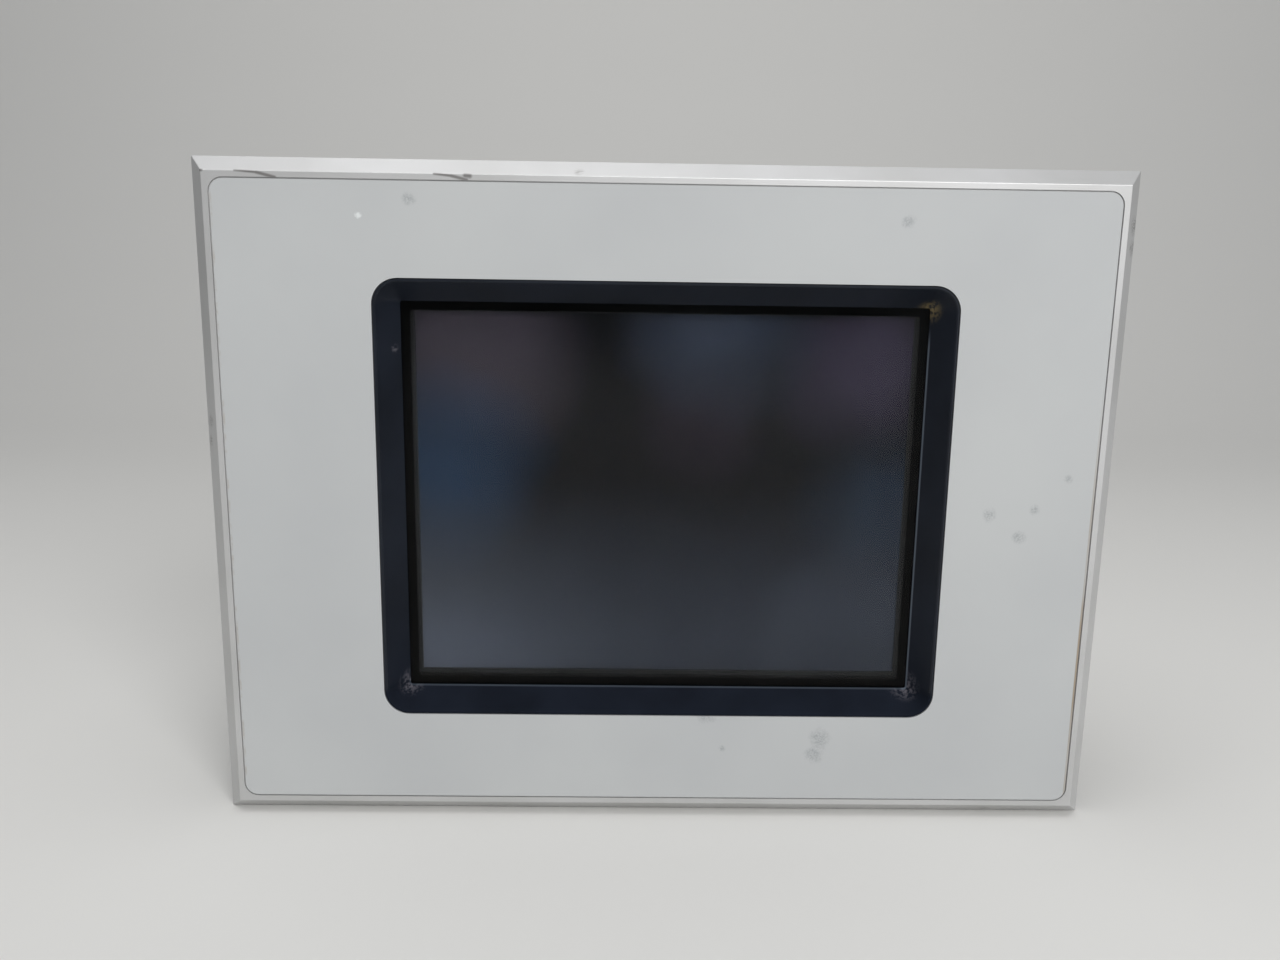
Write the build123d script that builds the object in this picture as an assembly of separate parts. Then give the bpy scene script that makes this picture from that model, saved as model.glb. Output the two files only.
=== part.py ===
"""A panel-mounted operator touch panel: aluminium front, touch display and steel electronics case.

Millimetres. X runs to the right seen from the front, Y from the front face to the back, Z up.
The origin is the centre of the mounting plane, where the front frame's back meets the panel sheet.
"""
import os

from build123d import *

# Front frame: a bevelled aluminium plate with a pocket for the printed overlay
FRONT_WIDTH = 212.0
FRONT_HEIGHT = 156.0
FRONT_FACE = -6.0
BEVEL_WIDTH = 3.4
BEVEL_DEPTH = 4.1
OVERLAY_WIDTH = 201.9
OVERLAY_HEIGHT = 146.0
OVERLAY_CORNER = 3.0
OVERLAY_GAP = 0.3
OVERLAY_FACE = FRONT_FACE + 0.05
OVERLAY_FLOOR = FRONT_FACE + 0.5
WINDOW_WIDTH = 132.9
WINDOW_HEIGHT = 103.7
WINDOW_CORNER = 6.0
WINDOW_Z = 0.2
FRAME_POCKET_WIDTH = 170.0
FRAME_POCKET_HEIGHT = 118.0
FRAME_POCKET_FLOOR = -3.0
GROOVE_DEPTH = 1.5
GROOVE_OUTER = (207.0, 151.0, 6.0)
GROOVE_INNER = (199.0, 143.0, 4.0)
GASKET_SIDE_GAP = 0.1
EDGE_RADIUS = 0.25

# Display stack behind the window, from the black funnel to the carrier plate
BEZEL_GAP = 0.2
BEZEL_RIM_FACE = FRONT_FACE + 0.15
BEZEL_RIM = 0.4
FUNNEL_LIP = 0.3
FUNNEL_WIDTH = 122.5
FUNNEL_HEIGHT = 93.3
FUNNEL_CORNER = 0.5
FUNNEL_FOOT = 0.4
BEZEL_WIDTH = 146.0
BEZEL_HEIGHT = 110.0
TOUCH_WIDTH = 130.0
TOUCH_HEIGHT = 100.0
TOUCH_POCKET_GAP = 0.2
SEAL_THICKNESS = 0.5
FILM_FACE = FUNNEL_FOOT + SEAL_THICKNESS
FILM_THICKNESS = 0.2
SPACER_THICKNESS = 0.1
SPACER_WINDOW = (118.4, 89.4)
GLASS_FACE = FILM_FACE + FILM_THICKNESS + SPACER_THICKNESS
GLASS_THICKNESS = 1.1
LCD_FACE = GLASS_FACE + GLASS_THICKNESS + SEAL_THICKNESS
LCD_WIDTH = 144.0
LCD_HEIGHT = 104.6
LCD_Z = 0.7
LCD_WINDOW_WIDTH = 117.0
LCD_WINDOW_HEIGHT = 87.8
LCD_SPLIT = 9.0
LCD_BACK = 12.8
LCD_WALL = 0.5
TOUCH_TAIL = (34.0, 46.0)
TOUCH_TAIL_Z = -52.6
CARRIER_FRONT = LCD_BACK
CARRIER_BACK = CARRIER_FRONT + 1.2

# Steel case: a full-height tray at the front and a box stepped up over the connectors
CASE_FRONT = -0.5
CASE_SEAT_GAP = 0.2
CASE_WIDTH = 195.0
CASE_TOP = 69.5
TRAY_BOTTOM = -69.5
BOX_BOTTOM = -54.5
STEP_BACK = 18.0
CASE_BACK = 51.0
WALL = 1.0
CASE_CORNER = 2.0
FRONT_OPENING = (176.0, 124.0)
REAR_FLANGE = 8.0
COVER_BACK = CASE_BACK + 1.0
VENT_SLOTS = 17
VENT_PITCH = 9.0
VENT_WIDTH = 2.5

# Main board: its front face carries the connectors, its back face the switches and battery
BOARD_WIDTH = 180.0
BOARD_BOTTOM = -49.0
BOARD_TOP = 63.0
BOARD_FRONT = 37.0
BOARD_BACK = 38.6

# M3 pan-head screws and their places as (x, z)
SCREW_RADIUS = 1.25
SCREW_HOLE_RADIUS = 1.6
HEAD_RADIUS = 2.8
HEAD_HEIGHT = 2.0
POST_RADIUS = 3.5
POSTS = [(sx * 79.0, sz * 55.0) for sx in (-1, 1) for sz in (-1, 1)]
STANDOFFS = [(sx * 86.0, z) for sx in (-1, 1) for z in (-36.0, 44.0)]
FLANGE_SCREWS = [(sx * 92.3, sz * 45.0) for sx in (-1, 1) for sz in (-1, 1)]
FLANGE_SCREWS += [(sx * 50.0, sz * 65.3) for sx in (-1, 1) for sz in (-1, 1)]
COVER_SCREWS = [(x, z) for x in (-92.5, 0.0, 92.5) for z in (-49.5, 64.5)]

# Connectors in the stepped bottom wall, from left to right
EARTH_X = -90.0
POWER_X = -73.0
ETHERNET_X = -51.0
USB_XS = (-32.5, -15.5)
SERIAL_X = 9.0
CARD_X = 51.0
EJECT_X = 78.5
CONNECTOR_GAP = 0.3
EARTH_Y = 28.0
EARTH_NUT_BOTTOM = BOX_BOTTOM - 4.2
EARTH_STUD_TIP = BOX_BOTTOM - 11.5
THREAD_MEAN_RADIUS = 1.77
POWER_HALF_WIDTH = 10.15
POWER_PIN_PITCH = 5.08
ETHERNET_HALF_WIDTH = 8.0
USB_HALF_WIDTH = 6.6
SERIAL_Y = 30.75
JACK_SCREW_OFFSET = 12.5
CARD_WIDTH = 42.8
CARD_LENGTH = 36.4
CARD_THICKNESS = 3.3
CARD_FRONT = 33.2
CARD_MOUTH = -55.3
EJECT_Y = 34.0

# Controls and battery behind the rear cover, as (x, z)
DIALS = [(-8.0, -36.0), (8.0, -36.0)]
RESET_SPOT = (24.0, -36.0)
LIGHT_PIPES = [(38.0 + 6.0 * n, -36.0) for n in range(4)]
BATTERY_SPOT = (-55.0, 25.0)
BATTERY_RADIUS = 12.25
BATTERY_OPENING = 36.0
HINGE_Y = COVER_BACK + 2.0
HINGE_Z = 47.0
HINGE_PIN_RADIUS = 1.0
HINGE_BARREL_RADIUS = 1.6
HINGE_BARREL_HALF = 13.2
LUG_OFFSET = 14.0

# Side clamps that press the panel sheet against the gasket
CLAMP_X = 102.0
CLAMP_ZS = (35.0, -35.0)
CLAMP_FRONT = 22.0
CLAMP_BACK = 40.0
THREAD_RADIUS = 2.0
THREAD_PITCH = 0.7
RUNNING_GAP = 0.05
FOOT_FACE = 6.5
FOOT_BACK = 11.0
SHAFT_TIP = 7.8
CLAMP_HEAD_FRONT = 49.0
CLAMP_HEAD_BACK = 52.0
CLAMP_HEAD_RADIUS = 3.5


def block(x_low, x_high, y_low, y_high, z_low, z_high):
    """A box given by its limits along each axis."""
    centre = ((x_low + x_high) / 2, (y_low + y_high) / 2, (z_low + z_high) / 2)
    return Pos(*centre) * Box(x_high - x_low, y_high - y_low, z_high - z_low)


def facing_back(x, y, z):
    """A sketch plane at a point, square to Y, that extrudes towards the back."""
    return Plane(origin=(x, y, z), x_dir=(1, 0, 0), z_dir=(0, 1, 0))


def slab(width, height, corner, y_front, y_back, z=0.0, x=0.0):
    """A rounded rectangle square to Y, from y_front to y_back."""
    shape = RectangleRounded(width, height, corner) if corner else Rectangle(width, height)
    return extrude(facing_back(x, y_front, z) * shape, amount=y_back - y_front)


def ring(outer, inner, y_front, y_back, z=0.0):
    """A flat frame between two rounded rectangles, each (width, height, corner)."""
    return slab(*outer, y_front, y_back, z) - slab(*inner, y_front, y_back, z)


def funnel(front, back, z):
    """A tapering space between two rounded rectangles, each (width, height, corner, y)."""
    faces = [facing_back(0, y, z) * RectangleRounded(w, h, r) for w, h, r, y in (front, back)]
    return loft(faces, ruled=True)


def rod_x(radius, x_low, x_high, y, z):
    """A round bar along X."""
    return Pos((x_low + x_high) / 2, y, z) * Rot(0, 90, 0) * Cylinder(radius, x_high - x_low)


def rod_y(radius, x, z, y_low, y_high):
    """A round bar along Y."""
    return Pos(x, (y_low + y_high) / 2, z) * Rot(90, 0, 0) * Cylinder(radius, y_high - y_low)


def rod_z(radius, x, y, z_low, z_high):
    """A round bar along Z."""
    return Pos(x, y, (z_low + z_high) / 2) * Cylinder(radius, z_high - z_low)


def hex_y(flats, x, z, y_low, y_high):
    """A hexagonal bar along Y, measured across its flats."""
    outline = facing_back(x, y_low, z) * RegularPolygon(flats / 2, 6, major_radius=False)
    return extrude(outline, amount=y_high - y_low)


def hex_z(flats, x, y, z_low, z_high):
    """A hexagonal bar along Z, measured across its flats."""
    outline = Plane.XY.offset(z_low) * RegularPolygon(flats / 2, 6, major_radius=False)
    return Pos(x, y, 0) * extrude(outline, amount=z_high - z_low)


def group(solids):
    """Separate solids that share one node."""
    return Compound(children=list(solids))


def screw(x, z, seat_y, length):
    """An M3 pan-head screw with a slot, its head behind seat_y."""
    head = rod_y(HEAD_RADIUS, x, z, seat_y, seat_y + HEAD_HEIGHT)
    head = fillet(head.edges().filter_by(GeomType.CIRCLE).sort_by(Axis.Y)[-1], 0.7)
    shank = rod_y(SCREW_RADIUS, x, z, seat_y - length, seat_y)
    slot = block(x - 2.0, x + 2.0, seat_y + 1.1, seat_y + HEAD_HEIGHT, z - 0.4, z + 0.4)
    cross = block(x - 0.4, x + 0.4, seat_y + 1.1, seat_y + HEAD_HEIGHT, z - 2.0, z + 2.0)
    return head + shank - slot - cross


def front_frame():
    """The plate with mitred bevels, overlay pocket, window, seal groove, case seat and four posts."""
    bevel_back = FRONT_FACE + BEVEL_DEPTH
    body = slab(FRONT_WIDTH, FRONT_HEIGHT, 0, bevel_back, 0)
    outer = facing_back(0, bevel_back, 0) * Rectangle(FRONT_WIDTH, FRONT_HEIGHT)
    face_width = FRONT_WIDTH - 2 * BEVEL_WIDTH
    face_height = FRONT_HEIGHT - 2 * BEVEL_WIDTH
    face = facing_back(0, FRONT_FACE, 0) * Rectangle(face_width, face_height)
    body += loft([face, outer], ruled=True)
    sides = body.edges().filter_by(lambda edge: edge.center().Y < bevel_back + EDGE_RADIUS)
    body = fillet(sides, EDGE_RADIUS)
    pocket_width = OVERLAY_WIDTH + 2 * OVERLAY_GAP
    pocket_height = OVERLAY_HEIGHT + 2 * OVERLAY_GAP
    pocket_corner = OVERLAY_CORNER + OVERLAY_GAP
    body -= slab(pocket_width, pocket_height, pocket_corner, FRONT_FACE, OVERLAY_FLOOR)
    body -= slab(WINDOW_WIDTH, WINDOW_HEIGHT, WINDOW_CORNER, FRONT_FACE, 0, WINDOW_Z)
    body -= slab(FRAME_POCKET_WIDTH, FRAME_POCKET_HEIGHT, 3.0, FRAME_POCKET_FLOOR, 0)
    body -= ring(GROOVE_OUTER, GROOVE_INNER, -GROOVE_DEPTH, 0)
    seat_width = CASE_WIDTH + 2 * CASE_SEAT_GAP
    seat_height = CASE_TOP - TRAY_BOTTOM + 2 * CASE_SEAT_GAP
    body -= slab(seat_width, seat_height, CASE_CORNER, CASE_FRONT, 0)
    for x, z in POSTS:
        body += rod_y(POST_RADIUS, x, z, FRAME_POCKET_FLOOR, CARRIER_FRONT)
        body -= rod_y(SCREW_RADIUS, x, z, CARRIER_FRONT - 8.0, CARRIER_FRONT)
    for x, z in FLANGE_SCREWS:
        body -= rod_y(SCREW_RADIUS, x, z, -4.5, CASE_FRONT)
    return body


def front_overlay():
    """The printed film that lies in the frame's pocket around the window."""
    film = slab(OVERLAY_WIDTH, OVERLAY_HEIGHT, OVERLAY_CORNER, OVERLAY_FACE, OVERLAY_FLOOR)
    window = slab(WINDOW_WIDTH, WINDOW_HEIGHT, WINDOW_CORNER, OVERLAY_FACE, OVERLAY_FLOOR, WINDOW_Z)
    return film - window


def panel_gasket():
    """The flat seal in the frame's back, drawn pressed flush with the mounting plane."""
    width, height, corner = GROOVE_OUTER
    outer = (width - 2 * GASKET_SIDE_GAP, height - 2 * GASKET_SIDE_GAP, corner)
    width, height, corner = GROOVE_INNER
    inner = (width + 2 * GASKET_SIDE_GAP, height + 2 * GASKET_SIDE_GAP, corner)
    return ring(outer, inner, -GROOVE_DEPTH, 0)


def display_bezel():
    """The black moulded funnel, with a rear pocket that locates the touch glass."""
    neck_width = WINDOW_WIDTH - 2 * BEZEL_GAP
    neck_height = WINDOW_HEIGHT - 2 * BEZEL_GAP
    neck_corner = WINDOW_CORNER - BEZEL_GAP
    body = slab(neck_width, neck_height, neck_corner, BEZEL_RIM_FACE, FUNNEL_FOOT, WINDOW_Z)
    body += slab(BEZEL_WIDTH, BEZEL_HEIGHT, 4.0, FRAME_POCKET_FLOOR, LCD_FACE, WINDOW_Z)
    mouth_width = neck_width - 2 * BEZEL_RIM
    mouth_height = neck_height - 2 * BEZEL_RIM
    mouth = (mouth_width, mouth_height, neck_corner - BEZEL_RIM, BEZEL_RIM_FACE)
    lip_y = BEZEL_RIM_FACE + FUNNEL_LIP
    lip_size = (mouth_width - 2 * FUNNEL_LIP, mouth_height - 2 * FUNNEL_LIP)
    lip = (*lip_size, neck_corner - BEZEL_RIM - FUNNEL_LIP, lip_y)
    foot = (FUNNEL_WIDTH, FUNNEL_HEIGHT, FUNNEL_CORNER, FUNNEL_FOOT)
    body -= funnel(mouth, lip, WINDOW_Z)
    body -= funnel(lip, foot, WINDOW_Z)
    pocket_width = TOUCH_WIDTH + 2 * TOUCH_POCKET_GAP
    pocket_height = TOUCH_HEIGHT + 2 * TOUCH_POCKET_GAP
    body -= slab(pocket_width, pocket_height, 1.0, FUNNEL_FOOT, LCD_FACE, WINDOW_Z)
    tail_notch_top = WINDOW_Z - TOUCH_HEIGHT / 2 + 1.0
    x_low, x_high = TOUCH_TAIL
    body -= block(x_low - 2.0, x_high + 2.0, 1.2, LCD_FACE, TOUCH_TAIL_Z - 3.0, tail_notch_top)
    return body


def touch_layer(y_front, thickness):
    """One full-size layer of the touch sensor."""
    return slab(TOUCH_WIDTH, TOUCH_HEIGHT, 0.8, y_front, y_front + thickness, WINDOW_Z)


def touch_spacer():
    """The black adhesive frame that holds the film off the glass."""
    y_front = FILM_FACE + FILM_THICKNESS
    outer = (TOUCH_WIDTH, TOUCH_HEIGHT, 0.8)
    return ring(outer, (*SPACER_WINDOW, 0.8), y_front, y_front + SPACER_THICKNESS, WINDOW_Z)


def display_seals():
    """Two foam frames: funnel to touch film, and touch glass to display."""
    front = ring((129.4, 99.4, 1.0), (123.5, 94.3, 1.0), FUNNEL_FOOT, FILM_FACE, WINDOW_Z)
    back_face = GLASS_FACE + GLASS_THICKNESS
    back = ring((126.0, 97.0, 1.0), (119.0, 90.0, 1.0), back_face, LCD_FACE, LCD_Z)
    return group([front, back])


def lcd_bezel():
    """The display's black front pan with its window."""
    pan = slab(LCD_WIDTH, LCD_HEIGHT, 1.0, LCD_FACE, LCD_SPLIT, LCD_Z)
    inner = (LCD_WIDTH - 2 * LCD_WALL, LCD_HEIGHT - 2 * LCD_WALL)
    pan -= slab(*inner, 0.5, LCD_FACE + LCD_WALL, LCD_SPLIT, LCD_Z)
    return pan - slab(LCD_WINDOW_WIDTH, LCD_WINDOW_HEIGHT, 0, LCD_FACE, LCD_SPLIT, LCD_Z)


def lcd_tray():
    """The display's rear pan around the light guide."""
    pan = slab(LCD_WIDTH, LCD_HEIGHT, 1.0, LCD_SPLIT, LCD_BACK, LCD_Z)
    inner = (LCD_WIDTH - 2 * LCD_WALL, LCD_HEIGHT - 2 * LCD_WALL)
    return pan - slab(*inner, 0.5, LCD_SPLIT, LCD_BACK - LCD_WALL, LCD_Z)


def backlight_lamps():
    """The two cold-cathode tubes along the light guide's edges."""
    return group(rod_x(1.2, -68.0, 68.0, 8.5, LCD_Z + side * 49.2) for side in (-1, 1))


def flex_tails():
    """The touch tail at the bottom and the display tail at the right, each bent to the back."""
    thick = 0.15
    low, back, top = TOUCH_TAIL_Z, 22.0, -8.0
    x_low, x_high = TOUCH_TAIL
    touch = block(x_low, x_high, 1.5, 1.5 + thick, low, WINDOW_Z - TOUCH_HEIGHT / 2 - 0.2)
    touch += block(x_low, x_high, 1.5, back, low - thick, low)
    touch += block(x_low, x_high, back - thick, back, low, top)
    touch += block(x_low, x_high, back - thick, BOARD_FRONT - 0.2, top - thick, top)
    x = LCD_WIDTH / 2
    display = block(x, x + 2.5, 10.0, 10.0 + thick, -10.0, 20.0)
    display += block(x + 2.5 - thick, x + 2.5, 10.0, BOARD_FRONT - 3.0, -10.0, 20.0)
    return group([touch, display])


def carrier_plate():
    """The steel plate that clamps the display stack and carries the boards."""
    plate = slab(186.0, 130.0, 3.0, CARRIER_FRONT, CARRIER_BACK)
    for x, z in POSTS + STANDOFFS:
        plate -= rod_y(SCREW_HOLE_RADIUS, x, z, CARRIER_FRONT, CARRIER_BACK)
    x_low, x_high = TOUCH_TAIL
    notch_top = TOUCH_TAIL_Z + 0.8
    plate -= block(x_low - 2.0, x_high + 2.0, CARRIER_FRONT, CARRIER_BACK, -66.0, notch_top)
    tail_x = LCD_WIDTH / 2 + 2.4
    plate -= block(tail_x - 1.2, tail_x + 1.2, CARRIER_FRONT, CARRIER_BACK, -12.0, 22.0)
    return plate


def inner_screws():
    """The screws inside the case: carrier to posts, case flange to frame, board to standoffs."""
    carrier = [screw(x, z, CARRIER_BACK, 7.0) for x, z in POSTS]
    flange = [screw(x, z, CASE_FRONT + WALL, 4.5) for x, z in FLANGE_SCREWS]
    board = [screw(x, z, BOARD_BACK, 5.0) for x, z in STANDOFFS]
    return group(carrier + flange + board)


def standoffs():
    """Hexagonal spacers between the carrier plate and the main board."""
    bars = []
    for x, z in STANDOFFS:
        bar = hex_y(5.5, x, z, CARRIER_BACK, BOARD_FRONT)
        bar -= rod_y(SCREW_RADIUS, x, z, BOARD_FRONT - 6.0, BOARD_FRONT)
        bars.append(bar)
    return group(bars)


def connector_cutouts():
    """The spaces that the connectors take up in the stepped bottom wall."""
    low, high = BOX_BOTTOM - 1.0, BOX_BOTTOM + WALL + 0.5
    square = [(POWER_X, POWER_HALF_WIDTH, 26.0), (ETHERNET_X, ETHERNET_HALF_WIDTH, 23.5)]
    square += [(x, USB_HALF_WIDTH, 31.2) for x in USB_XS]
    cuts = []
    for x, half, front in square:
        half += CONNECTOR_GAP
        cuts.append(block(x - half, x + half, front - CONNECTOR_GAP, BOARD_FRONT, low, high))
    cuts.append(d_prism(17.5, 8.9, low, high))
    for side in (-1, 1):
        cuts.append(rod_z(1.7, SERIAL_X + side * JACK_SCREW_OFFSET, SERIAL_Y, low, high))
    half = CARD_WIDTH / 2 + 0.5
    front, back = CARD_FRONT - 0.4, CARD_FRONT + CARD_THICKNESS + 0.4
    cuts.append(block(CARD_X - half, CARD_X + half, front, back, low, high))
    cuts.append(block(EJECT_X - 2.6, EJECT_X + 2.6, EJECT_Y - 2.1, EJECT_Y + 2.1, low, high))
    cuts.append(rod_z(THREAD_RADIUS + RUNNING_GAP, EARTH_X, EARTH_Y, low, high))
    return cuts


def rear_housing():
    """The folded steel case: front flange, tray, step, box walls and rear flange."""
    box_height = CASE_TOP - BOX_BOTTOM
    box_z = (CASE_TOP + BOX_BOTTOM) / 2
    flange_back = CASE_FRONT + WALL
    body = slab(CASE_WIDTH, CASE_TOP - TRAY_BOTTOM, CASE_CORNER, CASE_FRONT, STEP_BACK)
    body += slab(CASE_WIDTH, box_height, CASE_CORNER, STEP_BACK, CASE_BACK, box_z)
    inner_width = CASE_WIDTH - 2 * WALL
    tray_height = CASE_TOP - TRAY_BOTTOM - 2 * WALL
    body -= slab(inner_width, tray_height, CASE_CORNER - WALL, flange_back, STEP_BACK - WALL)
    inner_height = box_height - 2 * WALL
    body -= slab(inner_width, inner_height, CASE_CORNER - WALL, flange_back, CASE_BACK - WALL, box_z)
    body -= slab(*FRONT_OPENING, 3.0, CASE_FRONT, flange_back)
    rear_width = inner_width - 2 * REAR_FLANGE
    rear_height = inner_height - 2 * REAR_FLANGE
    body -= slab(rear_width, rear_height, 3.0, CASE_BACK - WALL, CASE_BACK, box_z)
    for x, z in FLANGE_SCREWS:
        body -= rod_y(SCREW_HOLE_RADIUS, x, z, CASE_FRONT, flange_back)
    for x, z in COVER_SCREWS:
        body -= rod_y(SCREW_HOLE_RADIUS, x, z, CASE_BACK - WALL, CASE_BACK)
    for n in range(VENT_SLOTS):
        x = VENT_PITCH * (n - (VENT_SLOTS - 1) / 2)
        x_low, x_high = x - VENT_WIDTH / 2, x + VENT_WIDTH / 2
        body -= block(x_low, x_high, 22.0, 42.0, CASE_TOP - 2 * WALL, CASE_TOP)
    for cut in connector_cutouts():
        body -= cut
    for side in (-1, 1):
        for z in CLAMP_ZS:
            x = side * (CASE_WIDTH / 2 - WALL / 2)
            body -= block(x - WALL, x + WALL, 32.0, 38.05, z - 4.3, z + 4.3)
    return body


def cover_slots():
    """The vent slots of the rear cover, in two fields beside the battery flap."""
    slots = []
    for row in range(9):
        z = 54.0 - 6.0 * row
        slots.append(slab(44.0, 2.5, 1.2, CASE_BACK, COVER_BACK, z, 2.0))
    for row in range(4):
        z = 54.0 - 6.0 * row
        slots.append(slab(44.0, 2.5, 1.2, CASE_BACK, COVER_BACK, z, 56.0))
    return slots


def rear_cover():
    """The flat steel cover with vents, switch holes, battery opening and two hinge lugs."""
    z = (CASE_TOP + BOX_BOTTOM) / 2
    height = CASE_TOP - BOX_BOTTOM - 1.0
    cover = slab(CASE_WIDTH - 1.0, height, 2.0, CASE_BACK, COVER_BACK, z)
    for slot in cover_slots():
        cover -= slot
    for x, z in COVER_SCREWS:
        cover -= rod_y(SCREW_HOLE_RADIUS, x, z, CASE_BACK, COVER_BACK)
    for x, z in DIALS:
        cover -= rod_y(4.2, x, z, CASE_BACK, COVER_BACK)
    cover -= rod_y(2.3, *RESET_SPOT, CASE_BACK, COVER_BACK)
    for x, z in LIGHT_PIPES:
        cover -= rod_y(1.6, x, z, CASE_BACK, COVER_BACK)
    x, z = BATTERY_SPOT
    cover -= slab(BATTERY_OPENING, BATTERY_OPENING, 3.0, CASE_BACK, COVER_BACK, z, x)
    z_low, z_high = HINGE_Z - HINGE_BARREL_RADIUS, HINGE_Z + HINGE_BARREL_RADIUS
    for side in (-1, 1):
        lug_x = x + side * LUG_OFFSET
        ends = (lug_x - WALL / 2, lug_x + WALL / 2)
        lug = block(*ends, CASE_BACK, HINGE_Y, z_low, z_high)
        lug += rod_x(HINGE_BARREL_RADIUS, *ends, HINGE_Y, HINGE_Z)
        cover += lug - rod_x(HINGE_PIN_RADIUS + 0.02, *ends, HINGE_Y, HINGE_Z)
    return cover


def cover_screws():
    """The six pan-head screws on the back."""
    return group(screw(x, z, COVER_BACK, 5.0) for x, z in COVER_SCREWS)


def rating_plate():
    """The blank plate on the rear cover."""
    return slab(62.0, 26.0, 1.5, COVER_BACK, COVER_BACK + 0.4, 6.0, 56.0)


def main_board():
    """The circuit board, on the standoffs."""
    z = (BOARD_TOP + BOARD_BOTTOM) / 2
    board = slab(BOARD_WIDTH, BOARD_TOP - BOARD_BOTTOM, 2.0, BOARD_FRONT, BOARD_BACK, z)
    for x, z in STANDOFFS:
        board -= rod_y(SCREW_HOLE_RADIUS, x, z, BOARD_FRONT, BOARD_BACK)
    return board


def board_chips():
    """The processor under the heatsink and four memory chips beside it."""
    chips = [block(-12.0, 16.0, BOARD_BACK, BOARD_BACK + 2.0, 14.0, 42.0)]
    for n in range(4):
        z = 50.0 - 13.0 * n
        chips.append(block(36.0, 54.0, BOARD_BACK, BOARD_BACK + 1.1, z - 4.0, z + 4.0))
    return group(chips)


def heatsink():
    """The finned aluminium block on the processor."""
    base_front = BOARD_BACK + 2.0
    base_back = base_front + 2.0
    sink = block(-23.0, 27.0, base_front, base_back, 3.0, 53.0)
    for n in range(11):
        x = -22.4 + 4.88 * n
        sink += block(x - 0.6, x + 0.6, base_back, CASE_BACK - 2.0, 3.0, 53.0)
    return sink


def capacitors():
    """Power-supply capacitors and a choke on the board's front face, above the supply inlet."""
    parts = [rod_y(4.0, -78.0 + 11.0 * n, -22.0, BOARD_FRONT - 11.0, BOARD_FRONT) for n in range(3)]
    choke = slab(12.0, 12.0, 2.0, BOARD_FRONT - 6.0, BOARD_FRONT, -22.0, -42.0)
    return group(parts + [choke])


def inverter_board():
    """The backlight supply board on two spacers behind the carrier plate."""
    board = block(-60.0, 20.0, 18.0, 19.6, 28.0, 52.0)
    for x in (-54.0, 14.0):
        board += rod_y(2.5, x, 40.0, CARRIER_BACK, 18.0)
    return board


def power_header():
    """The three-pole supply inlet's shroud."""
    outer = POWER_HALF_WIDTH
    inner = outer - 1.0
    shroud = block(POWER_X - outer, POWER_X + outer, 26.0, BOARD_FRONT, -57.0, -41.0)
    return shroud - block(POWER_X - inner, POWER_X + inner, 27.0, 36.0, -57.0, -46.0)


def ethernet_jack():
    """The network socket with the plug's latch keyway."""
    x, half = ETHERNET_X, ETHERNET_HALF_WIDTH
    jack = block(x - half, x + half, 23.5, BOARD_FRONT, -55.2, -34.0)
    jack -= block(x - 5.9, x + 5.9, 26.5, 34.5, -55.2, -42.0)
    return jack - block(x - 3.0, x + 3.0, 24.7, 26.5, -55.2, -44.0)


def usb_sockets():
    """Two shells, each with the contact tongue inside."""
    sockets = []
    half = USB_HALF_WIDTH
    sheet = 0.4
    for x in USB_XS:
        shell = block(x - half, x + half, 31.2, BOARD_FRONT, -55.5, -41.5)
        inside = half - sheet
        shell -= block(x - inside, x + inside, 31.2 + sheet, BOARD_FRONT - sheet, -55.5, -41.9)
        sockets.append(shell + block(x - 5.55, x + 5.55, 34.0, 35.9, -54.5, -41.9))
    return group(sockets)


def d_prism(width, height, z_low, z_high):
    """The serial connector's D outline, along Z."""
    outline = Trapezoid(width, height, 80.0)
    outline = fillet(outline.vertices(), 2.0)
    return Pos(SERIAL_X, SERIAL_Y, z_low) * extrude(outline, amount=z_high - z_low)


def serial_shell():
    """The serial connector's flange behind the wall and its D-shaped skirt through it."""
    inside = BOX_BOTTOM + WALL
    flange = block(SERIAL_X - 15.4, SERIAL_X + 15.4, 24.5, BOARD_FRONT, inside, inside + 1.0)
    shell = flange + d_prism(16.9, 8.3, -60.5, inside)
    shell -= d_prism(15.9, 7.3, -60.5, inside + 1.0)
    for side in (-1, 1):
        x = SERIAL_X + side * JACK_SCREW_OFFSET
        shell -= rod_z(1.5, x, SERIAL_Y, inside, inside + 1.0)
    return shell


def serial_insert():
    """The insulator that fills the skirt's root and the body behind the flange."""
    inside = BOX_BOTTOM + WALL + 1.0
    insert = d_prism(15.8, 7.2, BOX_BOTTOM, inside)
    return insert + block(SERIAL_X - 9.5, SERIAL_X + 9.5, 25.5, BOARD_FRONT, inside, -41.0)


def port_contacts():
    """The bare pins of the supply inlet, network socket and serial port."""
    pins = []
    for place in (-1, 0, 1):
        x = POWER_X + place * POWER_PIN_PITCH
        pins.append(block(x - 0.5, x + 0.5, 33.0, 34.0, -56.0, -46.0))
    for n in range(8):
        x = ETHERNET_X + 1.02 * (n - 3.5)
        pins.append(block(x - 0.2, x + 0.2, 34.2, 34.5, -54.0, -43.0))
    for row, count in ((1.42, 5), (-1.42, 4)):
        for n in range(count):
            x = SERIAL_X + 2.77 * (n - (count - 1) / 2)
            pins.append(rod_z(0.5, x, SERIAL_Y - row, -59.5, BOX_BOTTOM))
    return group(pins)


def jack_screws():
    """The two hexagonal screws that a serial plug is fastened to."""
    screws = []
    for side in (-1, 1):
        x = SERIAL_X + side * JACK_SCREW_OFFSET
        body = hex_z(5.0, x, SERIAL_Y, BOX_BOTTOM - 5.0, BOX_BOTTOM)
        body += rod_z(1.45, x, SERIAL_Y, BOX_BOTTOM, BOX_BOTTOM + 3.5)
        screws.append(body - rod_z(1.42, x, SERIAL_Y, BOX_BOTTOM - 5.0, BOX_BOTTOM - 0.5))
    return group(screws)


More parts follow.
